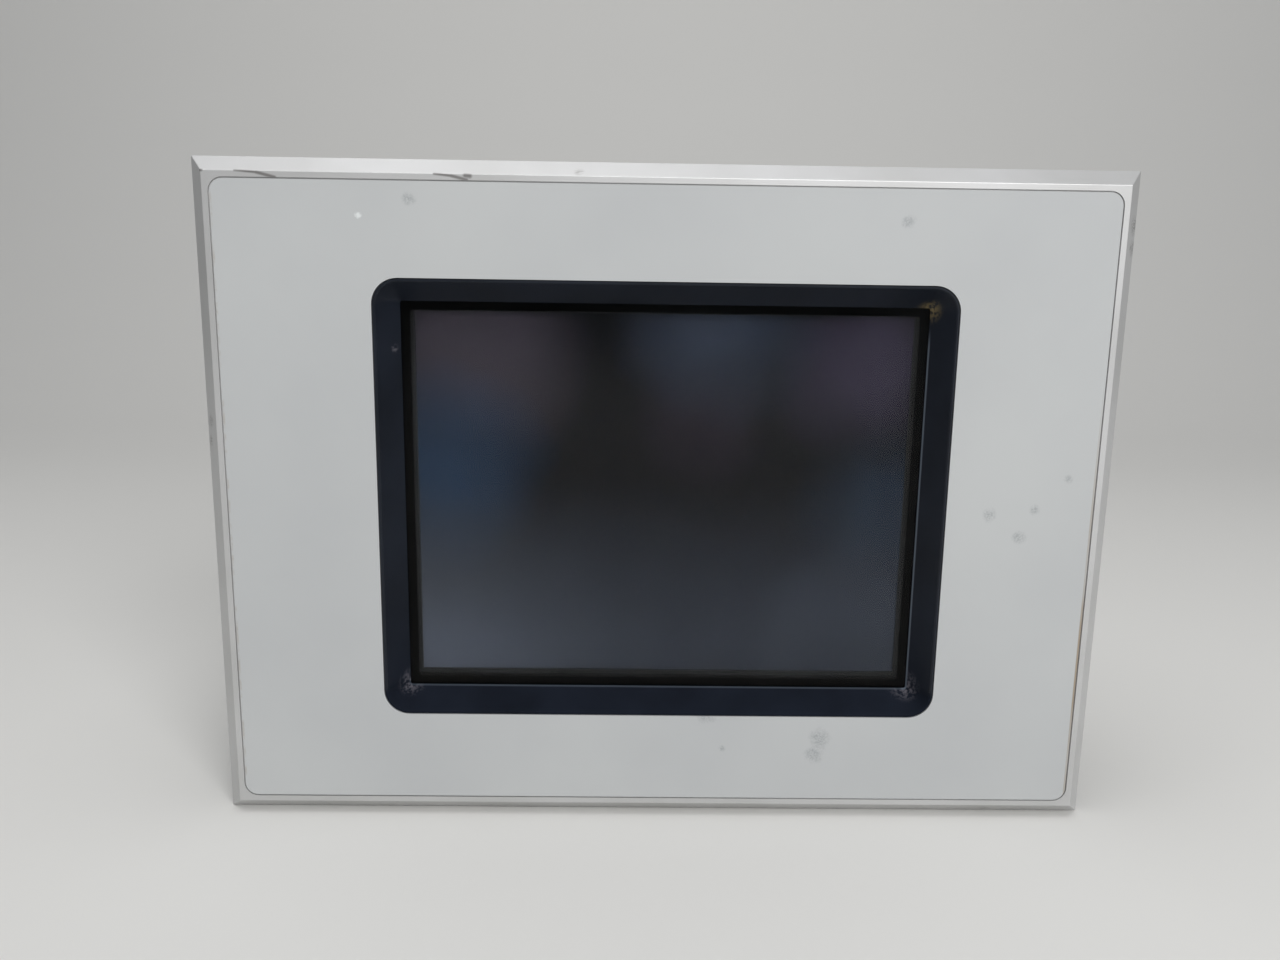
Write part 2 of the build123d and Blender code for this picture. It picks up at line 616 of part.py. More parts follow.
def earth_stud():
    """The earth stud: head inside the wall, mean thread diameter in the nut, free end below."""
    stud = rod_z(4.0, EARTH_X, EARTH_Y, BOX_BOTTOM + WALL, BOX_BOTTOM + 2 * WALL)
    stud += rod_z(THREAD_RADIUS, EARTH_X, EARTH_Y, BOX_BOTTOM - WALL, BOX_BOTTOM + WALL)
    stud += rod_z(THREAD_MEAN_RADIUS, EARTH_X, EARTH_Y, EARTH_NUT_BOTTOM, BOX_BOTTOM - WALL)
    free_end = rod_z(THREAD_RADIUS, EARTH_X, EARTH_Y, EARTH_STUD_TIP, EARTH_NUT_BOTTOM)
    tip = free_end.edges().filter_by(GeomType.CIRCLE).sort_by(Axis.Z)[0]
    return stud + chamfer(tip, 0.3)


def earth_nut():
    """The washer and nut on the earth stud."""
    washer_bottom = BOX_BOTTOM - WALL
    washer = rod_z(4.5, EARTH_X, EARTH_Y, washer_bottom, BOX_BOTTOM)
    washer -= rod_z(THREAD_RADIUS + 0.02, EARTH_X, EARTH_Y, washer_bottom, BOX_BOTTOM)
    nut = hex_z(7.0, EARTH_X, EARTH_Y, EARTH_NUT_BOTTOM, washer_bottom)
    nut -= rod_z(THREAD_MEAN_RADIUS + 0.02, EARTH_X, EARTH_Y, EARTH_NUT_BOTTOM, washer_bottom)
    return group([washer, nut])


def card_slot():
    """The memory card's guide rails and contact header, with the lever's pivot on a bracket."""
    rail_top = -12.0
    slot = block(CARD_X - 24.0, CARD_X + 24.0, 32.0, BOARD_FRONT, -16.0, rail_top)
    for side in (-1, 1):
        inner = CARD_X + side * (CARD_WIDTH / 2 + 0.3)
        outer = CARD_X + side * 24.0
        slot += block(min(inner, outer), max(inner, outer), 32.0, BOARD_FRONT, -53.0, rail_top)
    slot += block(66.0, 70.0, 30.2, 32.0, -16.0, rail_top)
    return slot + rod_y(1.0, 68.0, -14.0, 28.6, 31.0)


def card_ejector_plate():
    """The sliding plate whose tab pushes the card out."""
    plate = block(CARD_X - 21.0, 64.0, 30.6, 31.7, -22.0, -17.0)
    return plate + block(CARD_X - 19.0, CARD_X + 12.0, 31.7, 35.5, -18.6, -17.0)


def card_eject_lever():
    """The lever between the button's rod and the ejector plate, drawn at its rest tilt."""
    arm = Box(26.0, 0.9, 3.6) + Rot(90, 0, 0) * Cylinder(2.6, 0.9)
    arm -= Rot(90, 0, 0) * Cylinder(1.0 + RUNNING_GAP, 0.9)
    return Pos(68.0, 29.5, -14.0) * Rot(0, 12.3, 0) * arm


def card_eject_button():
    """The button outside the wall on its long push rod."""
    rod = block(EJECT_X - 2.2, EJECT_X + 2.2, EJECT_Y - 1.7, EJECT_Y + 1.7, -61.0, -20.0)
    tip = rod.faces().sort_by(Axis.Z)[0]
    return fillet(tip.edges(), 0.8)


def memory_card():
    """The card, with a thumbnail ridge at its outer end."""
    half = CARD_WIDTH / 2
    top = CARD_MOUTH + CARD_LENGTH
    back = CARD_FRONT + CARD_THICKNESS
    card = block(CARD_X - half, CARD_X + half, CARD_FRONT, back, CARD_MOUTH, top)
    for side in (-1, 1):
        x = CARD_X + side * half
        card -= block(x - 0.8, x + 0.8, CARD_FRONT + 1.0, CARD_FRONT + 2.0, CARD_MOUTH + 8.0, top)
    return card


def battery_holder():
    """The open cup that holds the button cell on the board's back face."""
    x, z = BATTERY_SPOT
    cup = rod_y(14.5, x, z, BOARD_BACK, BOARD_BACK + 6.0)
    cup -= rod_y(BATTERY_RADIUS + 0.35, x, z, BOARD_BACK + 1.2, BOARD_BACK + 6.0)
    return cup - block(x - 5.0, x + 5.0, BOARD_BACK + 2.4, BOARD_BACK + 6.0, z - 15.0, z)


def battery():
    """The lithium button cell."""
    cell = rod_y(BATTERY_RADIUS, *BATTERY_SPOT, BOARD_BACK + 1.2, BOARD_BACK + 8.9)
    rim = cell.edges().filter_by(GeomType.CIRCLE).sort_by(Axis.Y)[-1]
    return chamfer(rim, 0.8)


def battery_cover():
    """The plastic flap over the battery opening, with its hinge barrel and finger tab."""
    x, z = BATTERY_SPOT
    flap = slab(40.0, 40.0, 2.5, COVER_BACK + 0.3, COVER_BACK + 1.9, z, x)
    x_low, x_high = x - HINGE_BARREL_HALF, x + HINGE_BARREL_HALF
    flap += rod_x(HINGE_BARREL_RADIUS, x_low, x_high, HINGE_Y, HINGE_Z)
    flap += block(x_low, x_high, HINGE_Y - HINGE_BARREL_RADIUS, HINGE_Y - 0.1, z + 18.0, HINGE_Z)
    flap += block(x - 7.0, x + 7.0, COVER_BACK + 1.9, COVER_BACK + 3.0, z - 18.5, z - 16.5)
    return flap - rod_x(HINGE_PIN_RADIUS + RUNNING_GAP, x_low, x_high, HINGE_Y, HINGE_Z)


def battery_hinge_pin():
    """The steel pin through the lugs and the flap's barrel."""
    x, _ = BATTERY_SPOT
    return rod_x(HINGE_PIN_RADIUS, x - 15.2, x + 15.2, HINGE_Y, HINGE_Z)


def switch_bodies():
    """The two rotary code switches and the reset switch on the board."""
    bodies = []
    for x, z in DIALS:
        body = slab(10.0, 10.0, 0.8, BOARD_BACK, BOARD_BACK + 7.0, z, x)
        bodies.append(body - rod_y(1.5 + RUNNING_GAP, x, z, BOARD_BACK + 4.0, BOARD_BACK + 7.0))
    x, z = RESET_SPOT
    body = slab(6.0, 6.0, 0.5, BOARD_BACK, BOARD_BACK + 4.0, z, x)
    bodies.append(body - rod_y(1.5 + RUNNING_GAP, x, z, BOARD_BACK + 1.4, BOARD_BACK + 4.0))
    return group(bodies)


def rotary_dial(x, z):
    """A code switch's rotor with its shaft, screwdriver slot and pointer notch."""
    face = COVER_BACK - 0.3
    dial = rod_y(3.5, x, z, BOARD_BACK + 7.1, face)
    dial += rod_y(1.5, x, z, BOARD_BACK + 4.3, BOARD_BACK + 7.1)
    dial -= block(x - 0.5, x + 0.5, face - 1.2, face, z - 2.4, z + 2.4)
    pointer = Polygon((-1.4, -1.8), (1.4, -1.8), (0.0, -3.2), align=None)
    return dial - extrude(facing_back(x, face - 1.2, z) * pointer, amount=1.2)


def reset_button():
    """The recessed reset push button and its plunger."""
    x, z = RESET_SPOT
    cap = rod_y(1.9, x, z, BOARD_BACK + 5.2, COVER_BACK + 0.4)
    rim = cap.edges().filter_by(GeomType.CIRCLE).sort_by(Axis.Y)[-1]
    return chamfer(rim, 0.3) + rod_y(1.5, x, z, BOARD_BACK + 2.6, BOARD_BACK + 5.2)


def light_pipes():
    """The clear rods that bring the status lamps to the back."""
    pipes = []
    for x, z in LIGHT_PIPES:
        pipe = rod_y(1.5, x, z, BOARD_BACK + 1.5, COVER_BACK + 0.5)
        tip = pipe.edges().filter_by(GeomType.CIRCLE).sort_by(Axis.Y)[-1]
        pipes.append(fillet(tip, 0.4))
    return group(pipes)


def clamp_body(side, z):
    """A cast clamp on the case's side, with its hook through the wall."""
    wall_x = CASE_WIDTH / 2
    body = block(wall_x, CLAMP_X + 3.5, CLAMP_FRONT, CLAMP_BACK, z - 6.0, z + 6.0)
    outer = body.faces().sort_by(Axis.X)[-1]
    body = chamfer(outer.edges(), 1.5)
    body += block(wall_x - 4.8, wall_x, 35.0, 38.0, z - 4.0, z + 4.0)
    body += block(wall_x - 4.8, wall_x - WALL - 0.1, 35.0, 41.0, z - 4.0, z + 4.0)
    body -= rod_y(THREAD_RADIUS + RUNNING_GAP, CLAMP_X, z, CLAMP_FRONT, CLAMP_BACK)
    return body if side > 0 else mirror(body, about=Plane.YZ)


def clamp_screw(side, z):
    """A clamp's threaded screw, slotted at the back; the thread is drawn as rings."""
    x = side * CLAMP_X
    body = rod_y(THREAD_RADIUS, x, z, SHAFT_TIP, CLAMP_HEAD_FRONT)
    thread = facing_back(x, 0, z) * (Circle(THREAD_RADIUS + 0.5) - Circle(THREAD_RADIUS - 0.25))
    ring_cut = extrude(thread, amount=THREAD_PITCH / 2)
    first = FOOT_BACK + 1.0
    count = int((CLAMP_HEAD_FRONT - 1.0 - first) / THREAD_PITCH)
    cuts = [Pos(0, first + THREAD_PITCH * n, 0) * ring_cut for n in range(count)]
    body = body.cut(*[solid for cut in cuts for solid in cut.solids()])
    head = rod_y(CLAMP_HEAD_RADIUS, x, z, CLAMP_HEAD_FRONT, CLAMP_HEAD_BACK)
    rim = head.edges().filter_by(GeomType.CIRCLE).sort_by(Axis.Y)[-1]
    head = chamfer(rim, 0.5)
    slot_front = CLAMP_HEAD_BACK - 1.4
    slot = block(x - 0.6, x + 0.6, slot_front, CLAMP_HEAD_BACK, z - 3.5, z + 3.5)
    return body + head - slot


def clamp_foot(side, z):
    """The pressure foot on a clamp screw's tip."""
    x = side * CLAMP_X
    foot = rod_y(3.4, x, z, FOOT_FACE, FOOT_BACK)
    foot = chamfer(foot.edges().filter_by(GeomType.CIRCLE).sort_by(Axis.Y)[-1], 0.6)
    return foot - rod_y(THREAD_RADIUS + RUNNING_GAP, x, z, SHAFT_TIP - 0.1, FOOT_BACK)


CLAMPS = [(side, z) for side in (1, -1) for z in CLAMP_ZS]

PARTS = {
    "front_frame": front_frame(),
    "front_overlay": front_overlay(),
    "panel_gasket": panel_gasket(),
    "display_bezel": display_bezel(),
    "display_seals": display_seals(),
    "touch_film": touch_layer(FILM_FACE, FILM_THICKNESS),
    "touch_spacer": touch_spacer(),
    "touch_glass": touch_layer(GLASS_FACE, GLASS_THICKNESS),
    "lcd_bezel": lcd_bezel(),
    "lcd_glass": slab(136.0, 98.0, 0.5, LCD_FACE + 0.55, LCD_FACE + 2.55, LCD_Z),
    "lcd_light_guide": slab(134.0, 94.0, 0.5, 6.2, 11.2, LCD_Z),
    "backlight_lamps": backlight_lamps(),
    "lcd_tray": lcd_tray(),
    "flex_tails": flex_tails(),
    "carrier_plate": carrier_plate(),
    "inner_screws": inner_screws(),
    "board_standoffs": standoffs(),
    "rear_housing": rear_housing(),
    "rear_cover": rear_cover(),
    "cover_screws": cover_screws(),
    "rating_plate": rating_plate(),
    "main_board": main_board(),
    "board_chips": board_chips(),
    "heatsink": heatsink(),
    "capacitors": capacitors(),
    "inverter_board": inverter_board(),
    "inverter_transformer": block(-32.0, -14.0, 19.6, 27.6, 33.0, 47.0),
    "power_header": power_header(),
    "ethernet_jack": ethernet_jack(),
    "usb_sockets": usb_sockets(),
    "serial_shell": serial_shell(),
    "serial_insert": serial_insert(),
    "port_contacts": port_contacts(),
    "jack_screws": jack_screws(),
    "earth_stud": earth_stud(),
    "earth_nut": earth_nut(),
    "card_slot": card_slot(),
    "card_ejector_plate": card_ejector_plate(),
    "card_eject_lever": card_eject_lever(),
    "card_eject_button": card_eject_button(),
    "memory_card": memory_card(),
    "battery_holder": battery_holder(),
    "battery": battery(),
    "battery_cover": battery_cover(),
    "battery_hinge_pin": battery_hinge_pin(),
    "switch_bodies": switch_bodies(),
    "rotary_dial_left": rotary_dial(*DIALS[0]),
    "rotary_dial_right": rotary_dial(*DIALS[1]),
    "reset_button": reset_button(),
    "light_pipes": light_pipes(),
    "clamp_bodies": group(clamp_body(side, z) for side, z in CLAMPS),
}
for number, (side, z) in enumerate(CLAMPS, start=1):
    PARTS[f"clamp_screw_{number}"] = clamp_screw(side, z)
    PARTS[f"clamp_foot_{number}"] = clamp_foot(side, z)

os.makedirs("parts", exist_ok=True)
for node, shape in PARTS.items():
    export_step(shape, f"parts/{node}.step")
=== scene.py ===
"""An operator touch panel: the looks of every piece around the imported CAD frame, in metres."""
import math

import bpy
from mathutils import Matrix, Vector


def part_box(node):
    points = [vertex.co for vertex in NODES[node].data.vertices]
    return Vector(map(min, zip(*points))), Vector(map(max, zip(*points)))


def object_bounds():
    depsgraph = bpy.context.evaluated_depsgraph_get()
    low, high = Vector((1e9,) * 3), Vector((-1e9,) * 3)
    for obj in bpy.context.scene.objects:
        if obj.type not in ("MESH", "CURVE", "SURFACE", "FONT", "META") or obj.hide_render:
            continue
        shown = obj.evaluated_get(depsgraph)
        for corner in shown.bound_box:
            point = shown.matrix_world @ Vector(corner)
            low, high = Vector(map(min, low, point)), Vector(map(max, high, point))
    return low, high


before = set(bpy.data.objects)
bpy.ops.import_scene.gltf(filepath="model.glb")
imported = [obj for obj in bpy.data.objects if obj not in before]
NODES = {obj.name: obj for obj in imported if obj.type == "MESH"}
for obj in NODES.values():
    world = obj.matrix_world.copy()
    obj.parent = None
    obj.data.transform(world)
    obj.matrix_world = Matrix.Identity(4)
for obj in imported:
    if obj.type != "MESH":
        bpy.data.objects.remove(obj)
cad_low, cad_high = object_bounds()
MM = 0.001

# The view: a short lens a quarter of a metre in front of the panel and a little above its middle,
# looking slightly down.
VIEW_PLACE = (-9.5 * MM, -246.2 * MM, 54.4 * MM)
VIEW_TURN = (78.78, -0.85, -0.77)
VIEW_LENS = 29.67
SENSOR_WIDTH = 36.0
NEAREST_SEEN = 5 * MM
camera_data = bpy.data.cameras.new("panel_view")
camera_data.lens = VIEW_LENS
camera_data.sensor_width = SENSOR_WIDTH
camera_data.clip_start = NEAREST_SEEN
camera = bpy.data.objects.new("panel_view", camera_data)
camera.location = VIEW_PLACE
camera.rotation_euler = [math.radians(angle) for angle in VIEW_TURN]
bpy.context.scene.collection.objects.link(camera)
bpy.context.scene.camera = camera
bpy.context.scene.view_settings.view_transform = "Standard"


# The studio: one pale sheet swept up behind the panel, a broad lamp overhead, another high in front
# on the right, and an even, fairly dim room.
def linear(hex_colour):
    """The linear colour of an sRGB hex value."""
    channels = [int(hex_colour[i:i + 2], 16) / 255 for i in (0, 2, 4)]
    curve = [c / 12.92 if c <= 0.04045 else ((c + 0.055) / 1.055) ** 2.4 for c in channels]
    return (*curve, 1.0)


def add(material, kind, inputs=None, **settings):
    """Adds a node to a material: inputs are constants or sockets to link, settings are its options."""
    tree = material.node_tree
    node = tree.nodes.new("ShaderNode" + kind)
    for option, value in settings.items():
        setattr(node, option, value)
    for name, value in (inputs or {}).items():
        if isinstance(value, bpy.types.NodeSocket):
            tree.links.new(value, node.inputs[name])
        else:
            node.inputs[name].default_value = value
    return node


def surface(name, **inputs):
    """A new material with one Principled shader; returns the material, the shader and its coordinates."""
    material = bpy.data.materials.new(name)
    material.use_nodes = True
    shader = material.node_tree.nodes["Principled BSDF"]
    for socket, value in inputs.items():
        shader.inputs[socket.replace("_", " ").title().replace("Ior", "IOR")].default_value = value
    place = add(material, "TexCoord").outputs["Object"]
    return material, shader, place


def join(material, output, target):
    """Links one socket to another."""
    material.node_tree.links.new(output, target)


FLOOR_REACH = 3.0
SWEEP_START = 0.55
SWEEP_RADIUS = 0.5
SWEEP_STEPS = 60
bpy.ops.object.select_all(action="DESELECT")
bpy.ops.mesh.primitive_grid_add(x_subdivisions=2, y_subdivisions=SWEEP_STEPS, size=2 * FLOOR_REACH,
                                location=(0, 0, 0))
sweep = bpy.context.object
sweep.name = "studio_sweep"
for vertex in sweep.data.vertices:
    run = vertex.co.y - SWEEP_START
    if run > 0:
        bend = min(run, SWEEP_RADIUS * math.pi / 2)
        angle = bend / SWEEP_RADIUS
        vertex.co.y = SWEEP_START + SWEEP_RADIUS * math.sin(angle)
        vertex.co.z = SWEEP_RADIUS * (1 - math.cos(angle)) + run - bend
    vertex.co.z += cad_low.z
bpy.ops.object.shade_smooth()
paper, _, _ = surface("studio_paper", base_color=linear("DCDBD8"), roughness=0.8)
sweep.data.materials.append(paper)


def softbox(name, place, aim, size, watts):
    """A square area lamp that faces a point."""
    lamp = bpy.data.lights.new(name, "AREA")
    lamp.shape = "SQUARE"
    lamp.size = size
    lamp.energy = watts
    holder = bpy.data.objects.new(name, lamp)
    holder.location = place
    holder.rotation_euler = (Vector(aim) - Vector(place)).to_track_quat("-Z", "Y").to_euler()
    bpy.context.scene.collection.objects.link(holder)


softbox("overhead_lamp", place=(-0.1, -0.2, 1.1), aim=(0, 0, 0), size=1.0, watts=6.8)
softbox("front_lamp", place=(0.45, -1.15, 0.75), aim=(0, 0, 0), size=0.7, watts=13.5)
ROOM_STRENGTH = 0.27
room = bpy.data.worlds.new("room")
room.use_nodes = True
room_light = room.node_tree.nodes["Background"]
room_light.inputs["Color"].default_value = linear("C8CCD2")
room_light.inputs["Strength"].default_value = ROOM_STRENGTH
bpy.context.scene.world = room


def dress(node, material):
    """Gives a CAD node its finish."""
    NODES[node].data.materials.clear()
    NODES[node].data.materials.append(material)


def grain(material, place, per_mm, detail=2.0, stretch=(1, 1, 1)):
    """A noise value whose features are about 1 / per_mm millimetres, drawn out along an axis."""
    scaled = add(material, "Mapping", {"Vector": place, "Scale": stretch}).outputs["Vector"]
    noise = add(material, "TexNoise", {"Vector": scaled, "Scale": per_mm / MM, "Detail": detail})
    return noise.outputs["Fac"]


def remap(material, value, low, high, to_low=0.0, to_high=1.0):
    """A value between two limits brought to two others."""
    return add(material, "MapRange", {"Value": value, "From Min": low, "From Max": high,
                                      "To Min": to_low, "To Max": to_high}).outputs["Result"]


def blend(material, factor, first, second):
    """A colour between two colours."""
    mix = add(material, "Mix", {"Factor": factor}, data_type="RGBA")
    for socket, value in ((mix.inputs[6], first), (mix.inputs[7], second)):
        if isinstance(value, bpy.types.NodeSocket):
            join(material, value, socket)
        else:
            socket.default_value = value
    return mix.outputs[2]


def relief(material, shader, height, depth_mm):
    """Raises a height value into the shader's normal."""
    bump = add(material, "Bump", {"Height": height, "Distance": depth_mm * MM, "Strength": 1.0})
    join(material, bump.outputs["Normal"], shader.inputs["Normal"])


def spot(material, place, centre_mm, radius_mm, ragged):
    """1 inside a ragged blot about a point, fading to 0 at its edge."""
    distance = add(material, "VectorMath", {0: place, 1: [c * MM for c in centre_mm]}, operation="DISTANCE")
    radius = radius_mm * MM
    torn = add(material, "Math", {0: ragged, 1: 1.2 * radius, 2: distance.outputs["Value"]},
               operation="MULTIPLY_ADD").outputs[0]
    return remap(material, torn, 1.7 * radius, 0.9 * radius)


def scratch(material, place, start_mm, end_mm, width_mm):
    """1 on a thin straight line between two points, fading to 0 beside it."""
    start = Vector(start_mm) * MM
    run = Vector(end_mm) * MM - start
    offset = add(material, "VectorMath", {0: place, 1: start}, operation="SUBTRACT").outputs["Vector"]
    share = add(material, "VectorMath", {0: offset, 1: run / run.length_squared}, operation="DOT_PRODUCT")
    share = remap(material, share.outputs["Value"], 0, 1)
    nearest = add(material, "VectorMath", {0: run, "Scale": share}, operation="SCALE").outputs["Vector"]
    miss = add(material, "VectorMath", {0: offset, 1: nearest}, operation="DISTANCE").outputs["Value"]
    return remap(material, miss, width_mm * MM, 0.3 * width_mm * MM)


def combine(material, values, operation="MAXIMUM"):
    """Folds several values into one."""
    total = values[0]
    for value in values[1:]:
        total = add(material, "Math", {0: total, 1: value}, operation=operation).outputs[0]
    return total


anodised, anodised_shader, anodised_place = surface(
    "anodised_aluminium", base_color=linear("C6C6C4"), metallic=0.55, roughness=0.45)
draw_lines = grain(anodised, anodised_place, 4.0, 3.0, (0.03, 1, 1))
blasting = grain(anodised, anodised_place, 6.0)
clouds = grain(anodised, anodised_place, 0.03, 3.0)
anodised_tone = blend(anodised, remap(anodised, clouds, 0.35, 0.65), linear("C1C1C0"), linear("CCCCCC"))
ragged_edge = grain(anodised, anodised_place, 0.8, 2.0, (0.35, 1, 1))
KNOCKS = [((-104.6, -3.5, 19.0), 1.7), ((-105.2, -3.0, 14.5), 1.4), ((105.0, -3.2, 66.0), 2.4),
          ((105.4, -3.0, 61.0), 2.0), ((82.0, -3.6, -76.6), 1.5), ((-20.0, -5.0, 76.0), 1.3)]
knocked = combine(anodised, [spot(anodised, anodised_place, c, r, ragged_edge) for c, r in KNOCKS])
scraped = remap(anodised, grain(anodised, anodised_place, 3.0, 3.0, (0.2, 1, 1)), 0.4, 0.68, 0.0, 0.8)
knock_marks = combine(anodised, [knocked, scraped], "MULTIPLY")
anodised_tone = blend(anodised, knock_marks, anodised_tone, linear("55504C"))
SCRATCHES = [((-95.2, -6, 74.7), (-90.5, -6, 74.3), 0.4), ((-90.5, -6, 74.3), (-86.5, -6, 73.3), 0.5),
             ((-51.7, -6, 74.6), (-48.0, -6, 74.2), 0.4), ((-48.0, -6, 74.2), (-44.6, -6, 73.4), 0.5),
             ((-44.9, -6, 74.3), (-43.9, -6, 74.2), 0.7), ((-102.8, -6, 74.6), (-102.4, -6, 74.6), 0.5)]
scratched = [scratch(anodised, anodised_place, start, end, width) for start, end, width in SCRATCHES]
scratched = remap(anodised, combine(anodised, scratched), 0, 1, 0, 0.8)
anodised_tone = blend(anodised, scratched, anodised_tone, linear("6E6B69"))
join(anodised, anodised_tone, anodised_shader.inputs["Base Color"])
join(anodised, remap(anodised, blasting, 0.3, 0.7, 0.4, 0.5), anodised_shader.inputs["Roughness"])
surface_height = combine(anodised, [blasting, draw_lines], "ADD")
relief(anodised, anodised_shader, surface_height, 0.006)
dress("front_frame", anodised)

# Front overlay: polyester film, printed grey on its back and textured matt on its face, glued into
# the frame's pocket. It shows an even cool grey with handling smudges and dirt at its rim.
_, overlay_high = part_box("front_overlay")
overlay, overlay_shader, overlay_place = surface("textured_polyester", roughness=0.5, ior=1.5)
handling = grain(overlay, overlay_place, 0.02, 4.0)
film_texture = grain(overlay, overlay_place, 4.0, 2.0)
specks = grain(overlay, overlay_place, 0.45, 3.0)
overlay_tone = blend(overlay, remap(overlay, handling, 0.3, 0.7), linear("B5B7B8"), linear("BCBEBE"))
SMUDGES = [((53.5, -6, 65.9), 1.6), ((11.1, -6, -51.3), 2.4), ((39.5, -6, -57.5), 3.0),
           ((38.0, -6, -61.5), 2.4), ((76.7, -6, -0.6), 1.8), ((87.2, -6, 0.7), 1.4),
           ((84.0, -6, -6.0), 1.6), ((94.5, -6, 8.0), 1.2), ((15.5, -6, -60.0), 1.0),
           ((-57.5, -6, 69.2), 1.6)]
smudged = combine(overlay, [spot(overlay, overlay_place, c, r, specks) for c, r in SMUDGES])
scuff_grain = grain(overlay, overlay_place, 2.4, 5.0)
smudge_marks = combine(overlay, [smudged, remap(overlay, scuff_grain, 0.3, 0.72)], "MULTIPLY")
overlay_tone = blend(overlay, remap(overlay, smudge_marks, 0, 1, 0, 0.75), overlay_tone, linear("83868A"))
rim = add(overlay, "SeparateXYZ", {"Vector": overlay_place})
GRIME_WIDTH = 0.55 * MM
GRIME_FADE = 0.25 * MM
GRIME_TOP = 30 * MM
grime_start = overlay_high.x - GRIME_WIDTH
right_rim = remap(overlay, rim.outputs["X"], grime_start, grime_start + GRIME_FADE)
left_rim = remap(overlay, rim.outputs["X"], -grime_start, -grime_start - GRIME_FADE)
low_down = remap(overlay, rim.outputs["Z"], GRIME_TOP, -GRIME_TOP)
grime = combine(overlay, [right_rim, low_down, remap(overlay, handling, 0.3, 0.5)], "MULTIPLY")
grime_left = combine(overlay, [left_rim, remap(overlay, specks, 0.45, 0.65, 0.0, 0.35)], "MULTIPLY")
grime = combine(overlay, [grime, grime_left])
overlay_tone = blend(overlay, remap(overlay, grime, 0, 1, 0, 0.75), overlay_tone, linear("8B7455"))
fleck = spot(overlay, overlay_place, (-68.6, -6, 65.5), 0.8, scuff_grain)
overlay_tone = blend(overlay, remap(overlay, fleck, 0, 1, 0, 0.75), overlay_tone, linear("E3E6E6"))
join(overlay, overlay_tone, overlay_shader.inputs["Base Color"])
join(overlay, remap(overlay, handling, 0.3, 0.7, 0.46, 0.56), overlay_shader.inputs["Roughness"])
relief(overlay, overlay_shader, film_texture, 0.008)
dress("front_overlay", overlay)

# Display bezel: injection-moulded ABS, blue-black with a fine spark-eroded skin, dust in its sharp upper
# right inner corner and paler grainy patches in its lower ones. The pale line along its foot on the right
# and lower sides is a painted highlight. Its index of refraction is set below the real 1.54, and its lower
# wall duller than the others, so that both stay dark under the lamps.
abs_black, abs_shader, abs_place = surface("moulded_black_abs", roughness=0.34, ior=1.34)
spark_skin = grain(abs_black, abs_place, 5.0, 2.0)
abs_clouds = grain(abs_black, abs_place, 0.06, 4.0)
dust_grain = grain(abs_black, abs_place, 1.3, 5.0)
abs_tone = blend(abs_black, remap(abs_black, abs_clouds, 0.3, 0.7), linear("12161E"), linear("1A1F29"))
# Paler grainy patches at the bezel's two lower inner corners and one small one on its left wall.
PALE_PATCHES = [((-61.2, 0.0, -45.5), 4.0), ((61.0, 0.0, -45.5), 4.5), ((-62.0, -1.5, 36.0), 1.4)]
pale_patched = combine(abs_black, [spot(abs_black, abs_place, c, r, dust_grain) for c, r in PALE_PATCHES])
pale_marks = combine(abs_black, [pale_patched, remap(abs_black, dust_grain, 0.45, 0.7)], "MULTIPLY")
abs_tone = blend(abs_black, remap(abs_black, pale_marks, 0, 1, 0, 0.6), abs_tone, linear("8E8A92"))
dusty = spot(abs_black, abs_place, (61.2, 0.0, 46.6), 3.4, dust_grain)
dust_marks = combine(abs_black, [dusty, remap(abs_black, dust_grain, 0.42, 0.6)], "MULTIPLY")
abs_tone = blend(abs_black, remap(abs_black, dust_marks, 0, 1, 0, 0.8), abs_tone, linear("8A7A55"))
FOOT_Y = 0.4 * MM
FOOT_X = 60 * MM
FOOT_Z = -45 * MM
HIGHLIGHT_TOP = 40 * MM
LINE_WIDTH = 0.5 * MM
depth = add(abs_black, "SeparateXYZ", {"Vector": abs_place})
# Painted highlight: a pale line along the bezel's foot on its right and lower sides, where the slope meets
# the film.
foot_edge = remap(abs_black, depth.outputs["Y"], FOOT_Y - LINE_WIDTH, FOOT_Y - 0.7 * LINE_WIDTH)
right_side = remap(abs_black, depth.outputs["X"], FOOT_X - LINE_WIDTH, FOOT_X + LINE_WIDTH)
below_corner = remap(abs_black, depth.outputs["Z"], HIGHLIGHT_TOP + 2 * MM, HIGHLIGHT_TOP - 2 * MM)
right_side = combine(abs_black, [right_side, below_corner], "MULTIPLY")
lower_side = remap(abs_black, depth.outputs["Z"], FOOT_Z + LINE_WIDTH, FOOT_Z - LINE_WIDTH, 0.0, 0.35)
painted_foot_highlight = combine(abs_black, [right_side, lower_side])
painted_foot_highlight = combine(abs_black, [painted_foot_highlight, foot_edge], "MULTIPLY")
abs_tone = blend(abs_black, remap(abs_black, painted_foot_highlight, 0, 1, 0, 0.9), abs_tone, linear("59616B"))
join(abs_black, abs_tone, abs_shader.inputs["Base Color"])
lower_lip = remap(abs_black, depth.outputs["Z"], FOOT_Z + LINE_WIDTH, FOOT_Z - 3 * LINE_WIDTH)
abs_polish = remap(abs_black, abs_clouds, 0.3, 0.7, 0.28, 0.4)
join(abs_black, combine(abs_black, [abs_polish, remap(abs_black, lower_lip, 0, 1, 0, 0.85)]),
     abs_shader.inputs["Roughness"])
join(abs_black, remap(abs_black, lower_lip, 0, 1, 0.5, 0.12), abs_shader.inputs["Specular IOR Level"])
relief(abs_black, abs_shader, spark_skin, 0.01)
dress("display_bezel", abs_black)
for node in ("card_slot", "card_eject_button", "battery_holder", "clamp_foot_1", "clamp_foot_2",
             "clamp_foot_3", "clamp_foot_4"):
    dress(node, abs_black)

